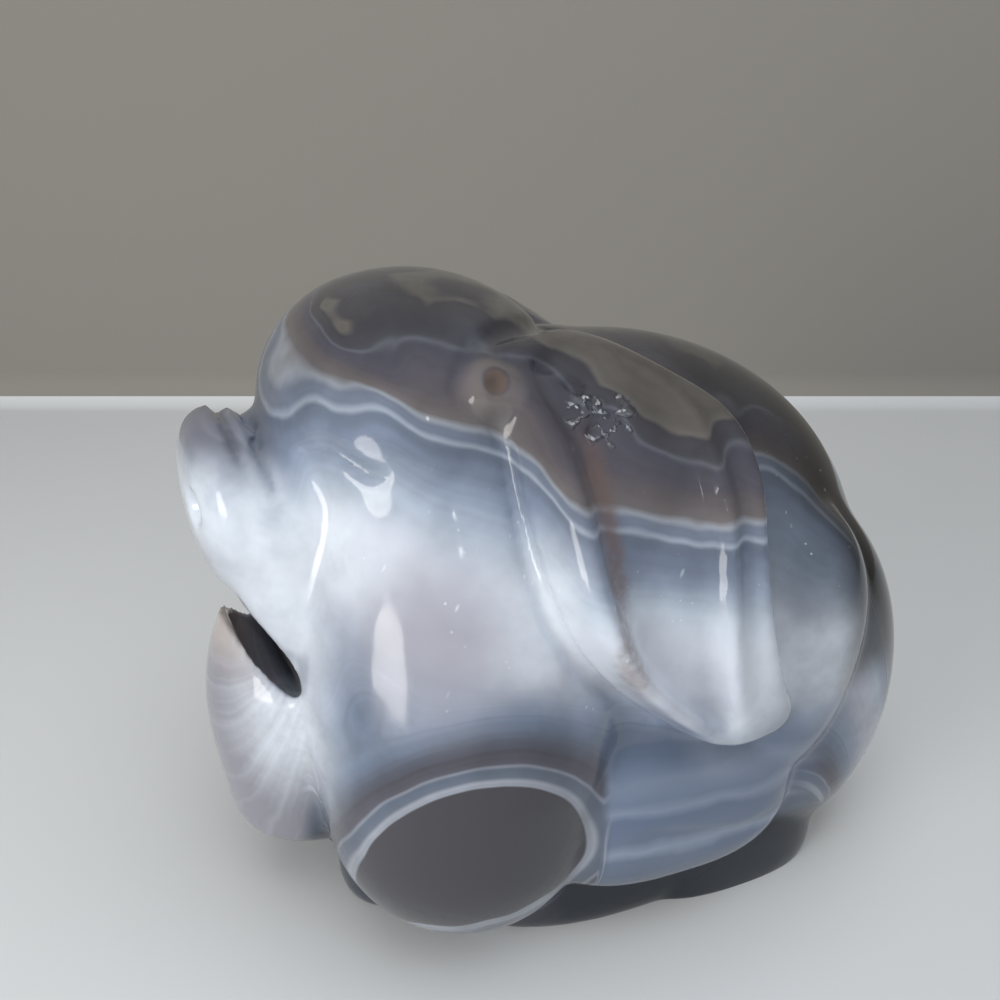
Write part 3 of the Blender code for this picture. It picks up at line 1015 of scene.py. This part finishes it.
banded_colour = banded_colour_group()
print("banded colour:", len(LOWER_BANDS) + len(UPPER_BANDS), "stops")

# %% [markdown]
# ## Regions of the stone
#
# Real agate isn't the same everywhere along one layer. The stone under the ears and in the back looks darker,
# partly because it is clearer and partly as painted shade next to the ears; the face is milky, and the
# forelegs are blue. Each region is a soft mask over position, and each takes the bands' colour and changes
# it. The masks overlap, as the zones do in the stone.

# %% Regions
HAZE_WHITE = (0.64, 0.69, 0.75, 1.0)
HEART_MAUVE = (0.315, 0.31, 0.355, 1.0)
SLAB_BLUE = (0.165, 0.205, 0.285, 1.0)
# The next colour is partly the navy base layers of the stone and partly painted contact shadow under the pig.
BASE_NAVY_AND_SHADE = (0.012, 0.016, 0.024, 1.0)
HOOF_BLUE = (0.040, 0.048, 0.062, 1.0)
EYE_BROWN = (0.040, 0.038, 0.045, 1.0)
MAUVE_GREY = (0.150, 0.148, 0.175, 1.0)
# The next colour is the tan inside of the mouth, painted much lighter to stand in for light falling into the
# cavity.
LIP_BROWN_PAINTED_LIGHT = (0.60, 0.49, 0.39, 1.0)
JAW_GREY = (0.210, 0.210, 0.245, 1.0)

# Centre and radii of each soft patch, in millimetres.
CHEEK_HEART = ((-23.0, -32.0, 58.0), (14.0, 17.0, 17.0))
WHITE_ARM = ((-8.0, -34.5, 60.0), (9.0, 12.0, 15.0))
EAR_TIP = ((18.5, -42.0, 44.0), (12.0, 14.0, 17.0))
JAW_WHITE = ((-38.0, -15.0, 39.0), (14.0, 15.0, 20.0))
LIP_WHITE = ((-38.0, -12.0, 58.0), (13.0, 20.0, 20.0))
SNOUT_TOP = ((-43.0, -2.0, 81.0), (11.0, 18.0, 12.0))
MOUTH_INSIDE_LIT = ((-40.5, 3.0, 48.0), (8.0, 17.0, 9.0))


def clear_stone_and_painted_shade(tree, x, z, height):
    """How much of the bands' colour is kept behind the face: less where the stone is clearer, and less again as
    painted shade next to the ears.
    """
    ear = calc(tree, "ADD", fade(tree, height, 52.0, 80.0, 1.25, 1.0), hill(tree, height, 77.0, 3.5, 0.15))
    back = calc(tree, "MULTIPLY", fade(tree, x, 19.0, 27.0, 1.0, 0.54), fade(tree, x, 33.0, 44.0, 1.0, 0.20))
    behind_face = calc(tree, "MULTIPLY", fade(tree, x, -9.0, -6.0), fade(tree, z, 34.0, 42.0))
    shade = calc(tree, "MULTIPLY", ear, back)
    return calc(tree, "ADD", 1.0, calc(tree, "MULTIPLY", behind_face, calc(tree, "SUBTRACT", shade, 1.0)))


def haze_mask(tree, place, x, z, heart):
    """The milky cloud: the face, a slanting sheet through the ear and the haunch, and patches in front."""
    level = calc(tree, "ADD", z, calc(tree, "MULTIPLY", x, 0.32))
    level = calc(tree, "ADD", level, noise(tree, place, 14.0, 2.5, 0.55, 8.0))
    sheet = calc(tree, "MULTIPLY", fade(tree, level, 44.0, 54.0), fade(tree, level, 66.0, 58.0))
    on_face = fade(tree, x, -6.0, -9.0)
    face = product(tree, sheet, on_face, calc(tree, "SUBTRACT", 1.0, heart), 0.95)
    back = product(tree, sheet, calc(tree, "SUBTRACT", 1.0, on_face), fade(tree, x, 34.0, 42.0, 0.75, 0.08))
    tip = product(tree, bump_at(tree, place, *EAR_TIP), 0.95)
    arm = product(tree, bump_at(tree, place, *WHITE_ARM), 1.15)
    jaw_patch = bump_at(tree, place, *JAW_WHITE)
    lip_patch = bump_at(tree, place, *LIP_WHITE)
    whole = face
    for part in (back, tip, arm, jaw_patch, lip_patch):
        whole = calc(tree, "MAXIMUM", whole, part)
    wisps = fade(tree, noise(tree, place, 6.0, 3.5, 0.6), -0.5, 0.35, 0.6, 1.0)
    return calc(tree, "MULTIPLY", whole, wisps)


def jaw_streaks(tree, place, x, z):
    """Fine rays that fan out from the corner of the mouth."""
    angle = calc(tree, "ARCTAN2", calc(tree, "ADD", x, 33.0), calc(tree, "SUBTRACT", 52.0, z))
    fan = tree.nodes.new("ShaderNodeCombineXYZ")
    put(tree, fan.inputs[0], calc(tree, "ADD", calc(tree, "MULTIPLY", angle, 26.0), noise(tree, place, 6.0)))
    return noise(tree, fan.outputs[0], 2.4, 2.0, 0.6, 1.6)


def slab_colour(tree, place, x, z):
    """Blue stone with a few flowing pale lines that follow the folded leg."""
    flow = total(tree, z, product(tree, x, 0.10), noise(tree, place, 9.0, 2.0, 0.5, 3.4))
    lines = ramp(tree, calc(tree, "DIVIDE", flow, 50.0), [
        (0.0, (0.30, 0.33, 0.36)), (0.30, (0.52, 0.56, 0.62)), (0.40, (0.70, 0.74, 0.78)),
        (0.43, (1.35, 1.30, 1.22)), (0.46, (0.72, 0.76, 0.80)), (0.54, (0.62, 0.68, 0.76)),
        (0.57, (1.15, 1.14, 1.12)), (0.60, (0.80, 0.84, 0.88)), (0.66, (1.00, 1.00, 1.00)),
        (0.72, (0.72, 0.76, 0.80)), (0.85, (0.90, 0.92, 0.95)),
    ])
    return mixed(tree, 1.0, SLAB_BLUE, lines, "MULTIPLY")


print("regions ready")

# %% [markdown]
# ## Small marks
#
# Up close the stone is full of small events. Bright specks and short slanted streaks on the cheek are painted
# glints, an iron-stained crack runs down the ear, a knob of pale quartz rings the pit at the ear's root, and
# beside it a little open druse still has its rough crystals.

# %% Small marks
IRON_BROWN = (0.150, 0.100, 0.088, 1.0)
QUARTZ_PALE = (0.165, 0.145, 0.138, 1.0)
PIT_BROWN = (0.110, 0.082, 0.068, 1.0)
# White for painted glints, on the cheek and on the druse crystals.
PAINTED_GLINT_WHITE = (0.80, 0.84, 0.88, 1.0)
DRUSE_MIDDLE = (1.0, -29.0, 82.8)
DRUSE_RADII = (6.5, 6.0, 5.5)
PIT_MIDDLE = (-11.9, -25.2, 87.6)


def vein_mask(tree, place, x, y, z):
    """The iron-stained crack that runs down the valley of the left ear."""
    line = calc(tree, "ADD", fade(tree, z, 58.0, 46.0, 0.0, 2.4), -1.7)
    away = calc(tree, "SUBTRACT", x, calc(tree, "ADD", line, noise(tree, place, 4.0, 3.0, 0.65, 2.4)))
    stripe = fade(tree, calc(tree, "ABSOLUTE", away), 2.6, 0.3)
    along = calc(tree, "MULTIPLY", fade(tree, z, 47.0, 55.0), fade(tree, z, 84.0, 76.0))
    broken = fade(tree, noise(tree, place, 2.4, 3.0, 0.6), -0.5, 0.3, 0.45, 1.0)
    return product(tree, stripe, along, fade(tree, y, -20.0, -28.0), broken)


def dots(tree, place, size, radius, squeeze, share):
    """Small flecks on a random grid; squeeze shrinks the axes, which draws the flecks out along them."""
    cells = tree.nodes.new("ShaderNodeTexVoronoi")
    put(tree, cells.inputs["Vector"], vector_calc(tree, "MULTIPLY", place, squeeze))
    cells.inputs["Scale"].default_value = 1.0 / size
    lot = split_of(tree, cells.outputs["Color"])[0]
    kept = fade(tree, lot, 1.0 - share, 1.0 - share + 0.05)
    return calc(tree, "MULTIPLY", fade(tree, cells.outputs["Distance"], radius, radius * 0.4), kept)


def painted_glint_mask(tree, place, y, z):
    """Painted glints: white specks and short streaks, mostly in the cheek."""
    leaning = tree.nodes.new("ShaderNodeVectorRotate")
    leaning.rotation_type = "Y_AXIS"
    put(tree, leaning.inputs["Vector"], place)
    leaning.inputs["Angle"].default_value = math.radians(-28.0)
    glint_streaks = dots(tree, leaning.outputs["Vector"], 1.3, 0.24, (1.0, 1.0, 0.34), 0.14)
    glint_specks = dots(tree, place, 1.5, 0.17, (1.0, 1.0, 1.0), 0.30)
    patch = fade(tree, noise(tree, place, 7.0, 1.0), 0.0, 0.35)
    zone = calc(tree, "MULTIPLY", fade(tree, z, 40.0, 50.0), fade(tree, z, 80.0, 66.0))
    left = fade(tree, y, -18.0, -26.0)
    return product(tree, calc(tree, "MAXIMUM", glint_streaks, glint_specks), patch, zone, left, 0.4)


print("small marks ready")

# %% [markdown]
# ## The whole pattern
#
# The pattern is put together in the order it is read in the stone: layers, eye, regions and marks. Each
# step mixes one more colour over the last, where its mask says.

# %% Colour of the stone

def stone_position(tree):
    """Position in the stone, in millimetres from the middle of its base."""
    place = tree.nodes.new("ShaderNodeTexCoord").outputs["Object"]
    return vector_calc(tree, "MULTIPLY", place, (1 / MM, 1 / MM, 1 / MM))


def group_node(tree, group, **values):
    node = tree.nodes.new("ShaderNodeGroup")
    node.node_tree = group
    for name, value in values.items():
        put(tree, node.inputs[name], value)
    return node.outputs


def agate_colour(tree, place):
    x, y, z = split_of(tree, place)
    plain = group_node(tree, layer_height, Position=place)["Height"]
    eye = group_node(tree, cheek_eye, Position=place, Height=plain)
    bands = group_node(tree, banded_colour, Height=eye["Height"], Position=place)["Colour"]
    # Behind the face the bands are scaled down: partly clearer, darker stone, partly painted shade next to the
    # ears.
    colour = scaled(tree, bands, clear_stone_and_painted_shade(tree, x, z, eye["Height"]))
    colour = mixed(tree, eye["Inside"], colour, EYE_BROWN)

    slab = product(tree, fade(tree, x, -1.5, 0.5), fade(tree, z, 42.0, 36.0), fade(tree, x, 42.0, 32.0))
    colour = mixed(tree, slab, colour, slab_colour(tree, place, x, z))
    # Painted shade: the bottom of the stone is darkened to near-black navy, partly its own navy layers and
    # partly the contact shadow beneath it.
    base_and_shade = calc(tree, "MULTIPLY", fade(tree, z, 14.0, 10.0), fade(tree, x, -8.0, 0.0))
    colour = mixed(tree, base_and_shade, colour, BASE_NAVY_AND_SHADE)
    hoof = product(tree, fade(tree, z, 13.0, 10.0), fade(tree, x, -18.0, -22.0), fade(tree, y, -24.0, -20.0))
    colour = mixed(tree, hoof, colour, HOOF_BLUE)

    heart = bump_at(tree, place, *CHEEK_HEART)
    haze = haze_mask(tree, place, x, z, heart)
    jaw = calc(tree, "MULTIPLY", fade(tree, x, -34.5, -37.5), fade(tree, z, 50.0, 44.0))
    colour = mixed(tree, jaw, colour, JAW_GREY)
    rays = calc(tree, "MULTIPLY", jaw_streaks(tree, place, x, z), jaw)
    haze = calc(tree, "MAXIMUM", calc(tree, "ADD", haze, product(tree, rays, 0.45)), 0.0)
    colour = mixed(tree, calc(tree, "MULTIPLY", haze, 0.86), colour, HAZE_WHITE)
    colour = mixed(tree, calc(tree, "MULTIPLY", heart, 0.75), colour, HEART_MAUVE)
    snout_top = bump_at(tree, place, *SNOUT_TOP)
    colour = mixed(tree, calc(tree, "MULTIPLY", snout_top, 0.9), colour, MAUVE_GREY)
    # Painted light: the mouth's tan inner wall is made much lighter than the stone, as if lit inside the shaded
    # cavity.
    lit_mouth_inside = bump_at(tree, place, *MOUTH_INSIDE_LIT)
    colour = mixed(tree, calc(tree, "MULTIPLY", lit_mouth_inside, 0.9), colour, LIP_BROWN_PAINTED_LIGHT)

    vein = calc(tree, "MULTIPLY", vein_mask(tree, place, x, y, z), 0.7)
    colour = mixed(tree, vein, colour, IRON_BROWN)
    from_pit = vector_calc(tree, "DISTANCE", place, PIT_MIDDLE)
    ring = calc(tree, "MULTIPLY", fade(tree, from_pit, 1.5, 2.2), fade(tree, from_pit, 5.0, 2.6))
    colour = mixed(tree, calc(tree, "MULTIPLY", ring, 0.6), colour, QUARTZ_PALE)
    colour = mixed(tree, fade(tree, from_pit, 2.0, 1.2), colour, PIT_BROWN)
    # Painted glints: white specks and streaks mixed into the colour of the cheek.
    return mixed(tree, painted_glint_mask(tree, place, y, z), colour, PAINTED_GLINT_WHITE)


print("pattern ready")

# %% [markdown]
# ## The polished agate
#
# Agate lets light in a few millimetres, so the shader has some subsurface scattering under a clear coat.
# The polish isn't perfect: its roughness varies a little, and in the druse the surface breaks into facets,
# whose glints are painted into the colour as white sparkle.

# %% Agate material
POLISH = 0.09
CRYSTAL_SIZE = 0.55
AGATE_IOR = 1.54
GLOW_DEPTH = 2.5 * MM


def agate_material():
    material = bpy.data.materials.new("polished_agate")
    material.use_nodes = True
    tree = material.node_tree
    shader = tree.nodes["Principled BSDF"]
    place = stone_position(tree)
    druse = bump_at(tree, place, DRUSE_MIDDLE, DRUSE_RADII)
    rough_spots = fade(tree, noise(tree, place, 2.2, 2.0), -0.1, 0.25)
    druse = fade(tree, calc(tree, "MULTIPLY", druse, rough_spots), 0.08, 0.35)
    crystals = tree.nodes.new("ShaderNodeTexVoronoi")
    put(tree, crystals.inputs["Vector"], place)
    crystals.inputs["Scale"].default_value = 1.0 / CRYSTAL_SIZE
    glint = split_of(tree, crystals.outputs["Color"])[0]
    colour = agate_colour(tree, place)
    # Painted glints: white sparkle on the druse crystals, mixed into the base colour.
    painted_sparkle = product(tree, druse, fade(tree, glint, 0.6, 1.0, 0.03, 0.6))
    put(tree, shader.inputs["Base Color"], mixed(tree, painted_sparkle, colour, PAINTED_GLINT_WHITE))

    worn = fade(tree, noise(tree, place, 5.0, 4.0, 0.6), -0.5, 0.5, -0.035, 0.05)
    put(tree, shader.inputs["Roughness"], total(tree, POLISH, worn, product(tree, druse, 0.25)))
    ripple = noise(tree, place, 3.5, 2.0, 0.5, 0.012)
    relief = calc(tree, "ADD", ripple, product(tree, druse, glint, 0.9))
    bump = tree.nodes.new("ShaderNodeBump")
    bump.inputs["Strength"].default_value = 1.0
    bump.inputs["Distance"].default_value = MM
    put(tree, bump.inputs["Height"], relief)
    put(tree, shader.inputs["Normal"], bump.outputs["Normal"])

    shader.inputs["IOR"].default_value = AGATE_IOR
    shader.inputs["Coat Weight"].default_value = 0.15
    shader.inputs["Coat Roughness"].default_value = 0.03
    shader.inputs["Subsurface Weight"].default_value = 0.2
    shader.inputs["Subsurface Radius"].default_value = (1.0, 0.95, 0.9)
    shader.inputs["Subsurface Scale"].default_value = GLOW_DEPTH
    return material


agate = agate_material()
pig.data.materials.clear()
pig.data.materials.append(agate)
print("agate material:", len(agate.node_tree.nodes), "nodes")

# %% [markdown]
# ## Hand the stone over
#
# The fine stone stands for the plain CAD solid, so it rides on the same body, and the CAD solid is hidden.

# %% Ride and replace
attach(pig, "root")
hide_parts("pig")
